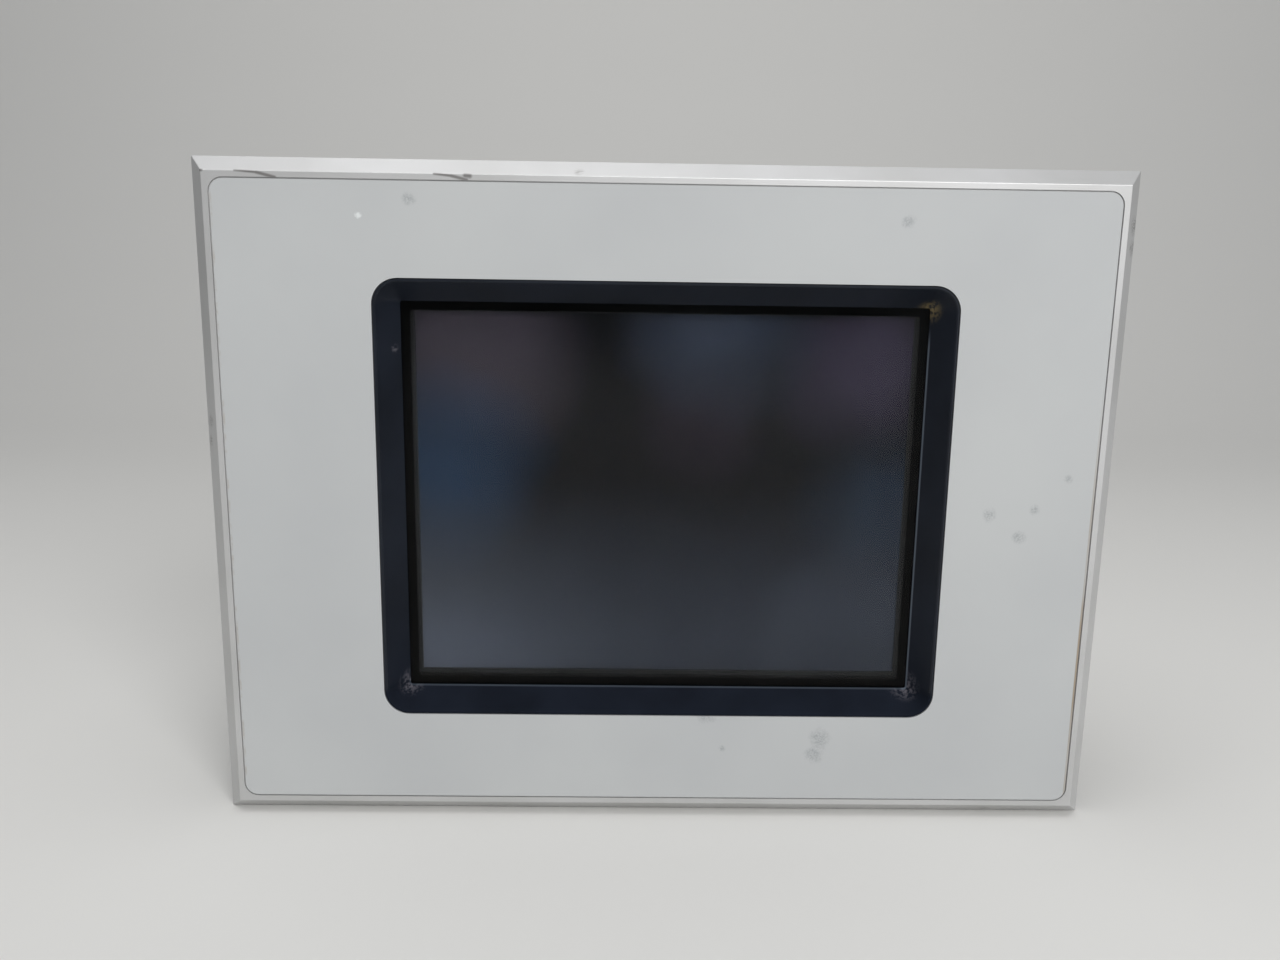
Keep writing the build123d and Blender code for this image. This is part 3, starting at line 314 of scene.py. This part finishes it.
# Touch sensor: a hard-coated polyester film over glass, spaced by a black adhesive frame. The film is
# clear with a slight haze and wiped smears. Both indices of refraction are set far below the real 1.5
# to 1.65, so that the stack reflects little of the lamps.
touch_film, film_shader, film_place = surface(
    "hard_coated_film", base_color=linear("F2F2F4"), roughness=0.12, ior=1.2, transmission_weight=1.0)
smears = grain(touch_film, film_place, 0.03, 5.0, (1, 1, 0.4))
fine_haze = grain(touch_film, film_place, 2.0, 2.0)
join(touch_film, remap(touch_film, smears, 0.35, 0.7, 0.1, 0.26), film_shader.inputs["Roughness"])
relief(touch_film, film_shader, fine_haze, 0.0004)
dress("touch_film", touch_film)
float_glass, glass_shader, glass_place = surface(
    "float_glass", base_color=linear("EEF2F0"), roughness=0.02, ior=1.08, transmission_weight=1.0)
wiped = grain(float_glass, glass_place, 0.05, 4.0)
join(float_glass, remap(float_glass, wiped, 0.3, 0.7, 0.01, 0.06), glass_shader.inputs["Roughness"])
dress("touch_glass", float_glass)
foam, foam_shader, foam_place = surface("black_foam", base_color=linear("191A1D"), roughness=0.85)
foam_cells = add(foam, "TexVoronoi", {"Vector": foam_place, "Scale": 3.0 / MM}).outputs["Distance"]
relief(foam, foam_shader, foam_cells, 0.05)
join(foam, blend(foam, foam_cells, linear("10131A"), linear("1D222C")), foam_shader.inputs["Base Color"])
for node in ("touch_spacer", "display_seals"):
    dress(node, foam)

# Display: a passive colour display that is off, near black, with a bonded front polariser. The violet, blue
# and grey patches are painted reflections of a room, and so is the paler grey-blue over its lower part.
# They are drawn into the polariser, whose index of refraction is set low.
polariser, polariser_shader, polariser_place = surface("dark_polariser", roughness=0.34, ior=1.12)
cast = grain(polariser, polariser_place, 0.02, 3.0)
lcd_tone = blend(polariser, remap(polariser, cast, 0.3, 0.7), linear("02050D"), linear("060A14"))
PAINTED_REFLECTIONS = [((-43.0, 0, 40.0), 26.0, "5C5460"), ((49.0, 0, 33.0), 22.0, "50485E"),
         ((9.0, 0, 20.0), 16.0, "2A2230"), ((-53.0, 0, 4.0), 24.0, "364C6C"),
         ((12.0, 0, 44.0), 24.0, "4E556A"), ((56.0, 0, -2.0), 22.0, "2F3D52"),
         ((48.0, 0, -40.0), 28.0, "747A90")]
for centre, radius, colour in PAINTED_REFLECTIONS:
    faded = spot(polariser, polariser_place, centre, radius, cast)
    lcd_tone = blend(polariser, remap(polariser, faded, 0, 1, 0, 0.85), lcd_tone, linear(colour))
lcd_axes = add(polariser, "SeparateXYZ", {"Vector": polariser_place})
# Painted reflection: a paler grey-blue over the lower part of the display, paler towards the left.
LOW_REFLECTION_TOP = 4 * MM
LOW_REFLECTION_FULL = -36 * MM
painted_low_reflection = remap(polariser, lcd_axes.outputs["Z"], LOW_REFLECTION_TOP, LOW_REFLECTION_FULL)
painted_low_reflection = combine(polariser, [painted_low_reflection, remap(polariser, cast, 0.2, 0.55, 0.6, 1.0)], "MULTIPLY")
PALE_LEFT = -55 * MM
PALE_END = -10 * MM
low_reflection_side = remap(polariser, lcd_axes.outputs["X"], PALE_LEFT, PALE_END)
low_reflection_tone = blend(polariser, low_reflection_side, linear("737787"), linear("4A4E5C"))
lcd_tone = blend(polariser, painted_low_reflection, lcd_tone, low_reflection_tone)
join(polariser, lcd_tone, polariser_shader.inputs["Base Color"])
relief(polariser, polariser_shader, grain(polariser, polariser_place, 3.0), 0.001)
dress("lcd_glass", polariser)

# Display pan: deep-drawn steel sheet, dipped black so that nothing shines around the picture. A thin
# even coat with a fine orange peel.
black_coat, coat_shader, coat_place = surface("black_dipped_steel", roughness=0.45, ior=1.5)
peel = grain(black_coat, coat_place, 1.5, 2.0)
coat_tone = blend(black_coat, peel, linear("101216"), linear("181A1F"))
join(black_coat, coat_tone, coat_shader.inputs["Base Color"])
relief(black_coat, coat_shader, peel, 0.01)
dress("lcd_bezel", black_coat)

# Backlight: an acrylic light guide with a printed dot screen and two coated glass tubes beside it.
# The guide is milky where the dots lie, and the tubes are chalk white.
acrylic, acrylic_shader, acrylic_place = surface(
    "cast_acrylic", base_color=linear("E6EAEC"), roughness=0.12, ior=1.49, transmission_weight=0.6)
DOT_PITCH = 1.2
dots = add(acrylic, "TexVoronoi",
           {"Vector": acrylic_place, "Scale": 1 / (DOT_PITCH * MM), "Randomness": 0.0})
printed = remap(acrylic, dots.outputs["Distance"], 0.35, 0.3)
acrylic_tone = blend(acrylic, printed, linear("DDE3E6"), linear("F4F6F6"))
join(acrylic, acrylic_tone, acrylic_shader.inputs["Base Color"])
join(acrylic, remap(acrylic, printed, 0, 1, 0.08, 0.5), acrylic_shader.inputs["Roughness"])
dress("lcd_light_guide", acrylic)
phosphor, phosphor_shader, phosphor_place = surface("phosphor_coated_glass", roughness=0.15, ior=1.5)
powder = grain(phosphor, phosphor_place, 3.0, 3.0)
phosphor_tone = blend(phosphor, remap(phosphor, powder, 0.35, 0.65), linear("DCDEDA"), linear("ECEDE8"))
join(phosphor, phosphor_tone, phosphor_shader.inputs["Base Color"])
dress("backlight_lamps", phosphor)

# Seal: a closed-cell rubber cord moulded as one flat ring and pressed into the frame's groove. Dark,
# matt and slightly pitted.
rubber, rubber_shader, rubber_place = surface("moulded_epdm_rubber", roughness=0.7, ior=1.5)
pits = grain(rubber, rubber_place, 1.8, 4.0)
rubber_tone = blend(rubber, remap(rubber, pits, 0.35, 0.65), linear("1F2021"), linear("2C2D2E"))
join(rubber, rubber_tone, rubber_shader.inputs["Base Color"])
relief(rubber, rubber_shader, pits, 0.06)
dress("panel_gasket", rubber)

# Case: the housing and cover are punched and folded from 1 mm electro-galvanised sheet. Cool grey
# metal with faint rolling lines, soft cloudy passivation, fine handling scratches and finger marks.
galvanised, galvanised_shader, galvanised_place = surface(
    "electrogalvanised_steel", metallic=0.85, roughness=0.38)
rolling = grain(galvanised, galvanised_place, 2.2, 3.0, (0.02, 1, 1))
passivation = grain(galvanised, galvanised_place, 0.045, 5.0)
crystals = add(galvanised, "TexVoronoi", {"Vector": galvanised_place, "Scale": 0.35 / MM})
crystals = remap(galvanised, crystals.outputs["Distance"], 0.2, 0.9, 0.0, 0.18)
scratch_lines = grain(galvanised, galvanised_place, 0.9, 2.0, (0.05, 1, 1.6))
cloudy = remap(galvanised, passivation, 0.3, 0.7)
galvanised_tone = blend(galvanised, cloudy, linear("A3A9AE"), linear("BCC0C2"))
galvanised_tone = blend(galvanised, crystals, galvanised_tone, linear("8F969C"))
scratch_lines = remap(galvanised, scratch_lines, 0.69, 0.74, 0.0, 0.5)
galvanised_tone = blend(galvanised, scratch_lines, galvanised_tone, linear("DDE0E1"))
PRESSED = [((-20.0, 52.0, 40.0), 11.0), ((70.0, 52.0, -8.0), 9.0), ((-80.0, 52.0, -20.0), 12.0),
           ((-97.0, 30.0, 5.0), 10.0), ((97.0, 34.0, 8.0), 9.0), ((30.0, 35.0, 69.5), 12.0)]
touched = combine(galvanised, [spot(galvanised, galvanised_place, c, r, passivation) for c, r in PRESSED])
ridges = grain(galvanised, galvanised_place, 0.8, 1.0, (1, 1, 0.35))
touched = combine(galvanised, [touched, remap(galvanised, ridges, 0.4, 0.6)], "MULTIPLY")
touched = remap(galvanised, touched, 0, 1, 0, 0.3)
galvanised_tone = blend(galvanised, touched, galvanised_tone, linear("7F868B"))
join(galvanised, galvanised_tone, galvanised_shader.inputs["Base Color"])
sheen = combine(galvanised, [rolling, passivation], "MULTIPLY")
join(galvanised, remap(galvanised, sheen, 0.15, 0.4, 0.3, 0.46), galvanised_shader.inputs["Roughness"])
relief(galvanised, galvanised_shader, rolling, 0.008)
for node in ("rear_housing", "rear_cover", "carrier_plate", "lcd_tray", "card_ejector_plate",
             "card_eject_lever"):
    dress(node, galvanised)

# Fasteners: cold-headed steel screws, nuts, spacers and the hinge pin, bright zinc plated with a
# clear bluish passivation. Duller and a little yellow where the plating pooled.
zinc, zinc_shader, zinc_place = surface("bright_zinc_plate", metallic=1.0, roughness=0.26)
pooled = grain(zinc, zinc_place, 0.7, 3.0)
turned = grain(zinc, zinc_place, 5.0, 2.0, (1, 0.2, 1))
zinc_tone = blend(zinc, remap(zinc, pooled, 0.35, 0.65), linear("B6BCC4"), linear("D0D3D2"))
zinc_tone = blend(zinc, remap(zinc, pooled, 0.62, 0.75, 0.0, 0.4), zinc_tone, linear("B9AE8C"))
join(zinc, zinc_tone, zinc_shader.inputs["Base Color"])
join(zinc, remap(zinc, pooled, 0.3, 0.7, 0.2, 0.36), zinc_shader.inputs["Roughness"])
relief(zinc, zinc_shader, turned, 0.006)
for node in ("inner_screws", "board_standoffs", "cover_screws", "battery_hinge_pin", "earth_stud",
             "earth_nut", "jack_screws", "clamp_screw_1", "clamp_screw_2", "clamp_screw_3",
             "clamp_screw_4"):
    dress(node, zinc)

# Side clamps: zinc die-castings, tumbled to break their edges and left bare. Dull grey metal with a
# coarse cast skin that shows darker in its hollows.
casting, casting_shader, casting_place = surface("tumbled_zinc_casting", metallic=0.9, roughness=0.5)
cast_skin = grain(casting, casting_place, 1.4, 4.0)
casting_tone = blend(casting, remap(casting, cast_skin, 0.35, 0.65), linear("8C8F91"), linear("A6A9AA"))
join(casting, casting_tone, casting_shader.inputs["Base Color"])
join(casting, remap(casting, cast_skin, 0.3, 0.7, 0.42, 0.6), casting_shader.inputs["Roughness"])
relief(casting, casting_shader, cast_skin, 0.06)
dress("clamp_bodies", casting)

# Rating plate: a blank of silver polyester foil, die-cut and stuck to the cover. Its face is matt and
# brushed in fine lines along its length.
foil, foil_shader, foil_place = surface("brushed_silver_foil", metallic=0.6, roughness=0.42)
brushing = grain(foil, foil_place, 6.0, 3.0, (0.01, 1, 1))
foil_tone = blend(foil, remap(foil, brushing, 0.35, 0.65), linear("B9BBBB"), linear("CFD0CF"))
join(foil, foil_tone, foil_shader.inputs["Base Color"])
relief(foil, foil_shader, brushing, 0.003)
dress("rating_plate", foil)

# Circuit boards: glass-epoxy laminate under green solder mask. Copper tracks stand up under the mask
# as a paler net, and small tinned vias dot it.
laminate, laminate_shader, laminate_place = surface("solder_mask_on_glass_epoxy", roughness=0.32, ior=1.5)
TRACK_CELL = 3.2
net = add(laminate, "TexVoronoi", {"Vector": laminate_place, "Scale": 1 / (TRACK_CELL * MM)},
          distance="MANHATTAN", feature="F2")
nearest = add(laminate, "TexVoronoi", {"Vector": laminate_place, "Scale": 1 / (TRACK_CELL * MM)},
              distance="MANHATTAN", feature="F1")
between = add(laminate, "Math", {0: net.outputs["Distance"], 1: nearest.outputs["Distance"]},
              operation="SUBTRACT").outputs[0]
tracks = remap(laminate, between, 0.16, 0.1)
vias = remap(laminate, nearest.outputs["Distance"], 0.16, 0.12)
board_tone = blend(laminate, tracks, linear("14492C"), linear("2A6E45"))
board_tone = blend(laminate, vias, board_tone, linear("A9ADA4"))
join(laminate, board_tone, laminate_shader.inputs["Base Color"])
relief(laminate, laminate_shader, tracks, 0.03)
for node in ("main_board", "inverter_board"):
    dress(node, laminate)

# Board parts: epoxy chip packages, the transformer, connector insulators and the switches' bodies,
# all transfer moulded in black glass-filled resin with a dull eroded skin.
resin, resin_shader, resin_place = surface("black_epoxy_resin", roughness=0.55, ior=1.55)
resin_grain = grain(resin, resin_place, 3.5, 3.0)
resin_tone = blend(resin, remap(resin, resin_grain, 0.35, 0.65), linear("1B1C1D"), linear("2A2B2C"))
join(resin, resin_tone, resin_shader.inputs["Base Color"])
relief(resin, resin_shader, resin_grain, 0.02)
for node in ("board_chips", "inverter_transformer", "serial_insert", "switch_bodies"):
    dress(node, resin)

# Capacitors and choke: aluminium cans in dark heat-shrunk sleeve. The sleeve is semi-gloss, a little
# wrinkled where it shrank, with a pale polarity stripe down one side.
sleeve, sleeve_shader, sleeve_place = surface("shrink_sleeve", roughness=0.3, ior=1.5)
capacitor_low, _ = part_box("capacitors")
STRIPE_PITCH = 11.0
from_first = add(sleeve, "Mapping", {"Vector": sleeve_place, "Location": (-capacitor_low.x, 0, 0)})
across = add(sleeve, "SeparateXYZ", {"Vector": from_first.outputs["Vector"]}).outputs["X"]
repeat = add(sleeve, "Math", {0: across, 1: STRIPE_PITCH * MM}, operation="MODULO").outputs[0]
stripe = remap(sleeve, repeat, 1.6 * MM, 1.4 * MM)
sleeve_wrinkles = grain(sleeve, sleeve_place, 0.8, 3.0)
sleeve_tone = blend(sleeve, sleeve_wrinkles, linear("1C2430"), linear("27303E"))
join(sleeve, blend(sleeve, stripe, sleeve_tone, linear("A8ABAB")), sleeve_shader.inputs["Base Color"])
relief(sleeve, sleeve_shader, sleeve_wrinkles, 0.03)
dress("capacitors", sleeve)

# Heatsink: extruded aluminium, sawn to length and black anodised. Dull charcoal metal in which the
# lines of the die run along the fins.
extrusion, extrusion_shader, extrusion_place = surface(
    "black_anodised_extrusion", metallic=0.6, roughness=0.4)
die_lines = grain(extrusion, extrusion_place, 5.0, 3.0, (1, 1, 0.02))
drawn = remap(extrusion, die_lines, 0.35, 0.65)
extrusion_tone = blend(extrusion, drawn, linear("25262A"), linear("3B3C41"))
join(extrusion, extrusion_tone, extrusion_shader.inputs["Base Color"])
relief(extrusion, extrusion_shader, die_lines, 0.01)
dress("heatsink", extrusion)

# Flex tails: amber polyimide film laminated over etched copper. The film is glossy, and the tracks
# show through it as darker lines.
polyimide, polyimide_shader, polyimide_place = surface("polyimide_film", roughness=0.25, ior=1.6)
TRACK_PITCH = 1.0
flex_axes = add(polyimide, "SeparateXYZ", {"Vector": polyimide_place})
ribbon = add(polyimide, "Math", {0: flex_axes.outputs["X"], 1: TRACK_PITCH * MM}, operation="PINGPONG")
copper = remap(polyimide, ribbon.outputs[0], 0.35 * MM, 0.5 * MM)
cast_film = grain(polyimide, polyimide_place, 0.2, 3.0)
flex_tone = blend(polyimide, cast_film, linear("A8631C"), linear("C07A2A"))
flex_tone = blend(polyimide, copper, flex_tone, linear("7A3F16"))
join(polyimide, flex_tone, polyimide_shader.inputs["Base Color"])
dress("flex_tails", polyimide)

# Connectors: drawn steel shells under nickel, a green polyester supply inlet and gold-flashed pins.
# The nickel is warm and softly polished, with fine die marks along the draw.
nickel, nickel_shader, nickel_place = surface("nickel_plated_shell", metallic=1.0, roughness=0.28)
die_marks = grain(nickel, nickel_place, 4.0, 3.0, (1, 1, 0.06))
nickel_tone = blend(nickel, remap(nickel, die_marks, 0.35, 0.65), linear("B9B6AE"), linear("D2CFC7"))
join(nickel, nickel_tone, nickel_shader.inputs["Base Color"])
join(nickel, remap(nickel, die_marks, 0.3, 0.7, 0.22, 0.38), nickel_shader.inputs["Roughness"])
relief(nickel, nickel_shader, die_marks, 0.005)
for node in ("ethernet_jack", "usb_sockets", "serial_shell"):
    dress(node, nickel)
polyester, polyester_shader, polyester_place = surface(
    "moulded_green_polyester", roughness=0.4, ior=1.55)
polyester_flow = grain(polyester, polyester_place, 0.25, 4.0, (1, 1, 0.4))
streaks = remap(polyester, polyester_flow, 0.3, 0.7)
polyester_tone = blend(polyester, streaks, linear("256B3A"), linear("317F48"))
join(polyester, polyester_tone, polyester_shader.inputs["Base Color"])
relief(polyester, polyester_shader, grain(polyester, polyester_place, 4.0), 0.015)
dress("power_header", polyester)
gold, gold_shader, gold_place = surface("gold_flash_on_nickel", metallic=1.0, roughness=0.22)
gold_wear = grain(gold, gold_place, 1.5, 3.0)
gold_tone = blend(gold, remap(gold, gold_wear, 0.55, 0.7), linear("D2A548"), linear("C9BFA8"))
join(gold, gold_tone, gold_shader.inputs["Base Color"])
dress("port_contacts", gold)

# Memory card: two covers welded around a grey moulded frame with an eroded skin. Its faces carry a
# blank field of off-white paper for a label.
card_frame, card_shader, card_place = surface("moulded_grey_pbt", roughness=0.5, ior=1.5)
card_low, card_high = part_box("memory_card")
card_axes = add(card_frame, "SeparateXYZ", {"Vector": card_place})
LABEL_MARGIN = 4.0 * MM
LABEL_EDGE = 1.02 * LABEL_MARGIN
label_sides = []
for axis, low_edge, high_edge in (("X", card_low.x, card_high.x), ("Z", card_low.z, card_high.z)):
    along = card_axes.outputs[axis]
    label_sides.append(remap(card_frame, along, low_edge + LABEL_MARGIN, low_edge + LABEL_EDGE))
    label_sides.append(remap(card_frame, along, high_edge - LABEL_MARGIN, high_edge - LABEL_EDGE))
label = combine(card_frame, label_sides, "MULTIPLY")
card_grain = grain(card_frame, card_place, 3.0, 3.0)
card_tone = blend(card_frame, card_grain, linear("4A4D51"), linear("5E6266"))
paper_tone = blend(card_frame, grain(card_frame, card_place, 0.3, 4.0), linear("C3C4C0"), linear("D2D3CF"))
join(card_frame, blend(card_frame, label, card_tone, paper_tone), card_shader.inputs["Base Color"])
relief(card_frame, card_shader, card_grain, 0.015)
dress("memory_card", card_frame)

# Battery: a button cell in a pressed stainless can. The metal is bright and brushed in rings around
# its middle.
can, can_shader, can_place = surface("brushed_stainless_can", metallic=1.0, roughness=0.24)
cell_low, cell_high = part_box("battery")
cell_centre = (cell_low + cell_high) / 2
from_centre = add(can, "Mapping", {"Vector": can_place, "Location": -cell_centre})
flattened = add(can, "VectorMath", {0: from_centre.outputs["Vector"], 1: (1, 0, 1)}, operation="MULTIPLY")
from_axis = add(can, "VectorMath", {0: flattened.outputs["Vector"]}, operation="LENGTH").outputs["Value"]
ring_place = add(can, "CombineXYZ", {"X": from_axis})
rings = grain(can, ring_place.outputs["Vector"], 4.0, 3.0)
can_tone = blend(can, remap(can, rings, 0.35, 0.65), linear("B4B5B3"), linear("D6D6D2"))
join(can, can_tone, can_shader.inputs["Base Color"])
relief(can, can_shader, rings, 0.006)
dress("battery", can)

# Battery flap: injection-moulded mid-grey ABS with a fine eroded skin. It is cloudy and a little
# glossier where it has been thumbed.
flap_abs, flap_shader, flap_place = surface("moulded_grey_abs", roughness=0.48, ior=1.53)
flap_skin = grain(flap_abs, flap_place, 4.0, 2.0)
flap_clouds = grain(flap_abs, flap_place, 0.08, 4.0)
flap_tone = blend(flap_abs, remap(flap_abs, flap_clouds, 0.3, 0.7), linear("55595D"), linear("62666A"))
join(flap_abs, flap_tone, flap_shader.inputs["Base Color"])
join(flap_abs, remap(flap_abs, flap_clouds, 0.3, 0.7, 0.36, 0.55), flap_shader.inputs["Roughness"])
relief(flap_abs, flap_shader, flap_skin, 0.02)
dress("battery_cover", flap_abs)

# Dials and reset button: moulded white nylon, a little yellowed. Satin plastic with a faint flow
# pattern from the gate.
nylon, nylon_shader, nylon_place = surface("moulded_white_nylon", roughness=0.4, ior=1.53)
nylon_flow = grain(nylon, nylon_place, 0.6, 4.0)
nylon_tone = blend(nylon, remap(nylon, nylon_flow, 0.3, 0.7), linear("C9C8BF"), linear("D9D8D0"))
join(nylon, nylon_tone, nylon_shader.inputs["Base Color"])
relief(nylon, nylon_shader, grain(nylon, nylon_place, 5.0), 0.01)
for node in ("rotary_dial_left", "rotary_dial_right", "reset_button"):
    dress(node, nylon)

# Light pipes: moulded clear polycarbonate. Glassy, with a faint green cast and a little moulding
# haze.
pipe, pipe_shader, pipe_place = surface(
    "clear_polycarbonate", base_color=linear("DCEBE2"), roughness=0.08, ior=1.58, transmission_weight=0.9)
pipe_haze = grain(pipe, pipe_place, 1.0, 3.0)
join(pipe, remap(pipe, pipe_haze, 0.3, 0.7, 0.05, 0.2), pipe_shader.inputs["Roughness"])
join(pipe, blend(pipe, pipe_haze, linear("D2E6DA"), linear("E4F0E8")), pipe_shader.inputs["Base Color"])
dress("light_pipes", pipe)

bpy.context.view_layer.update()
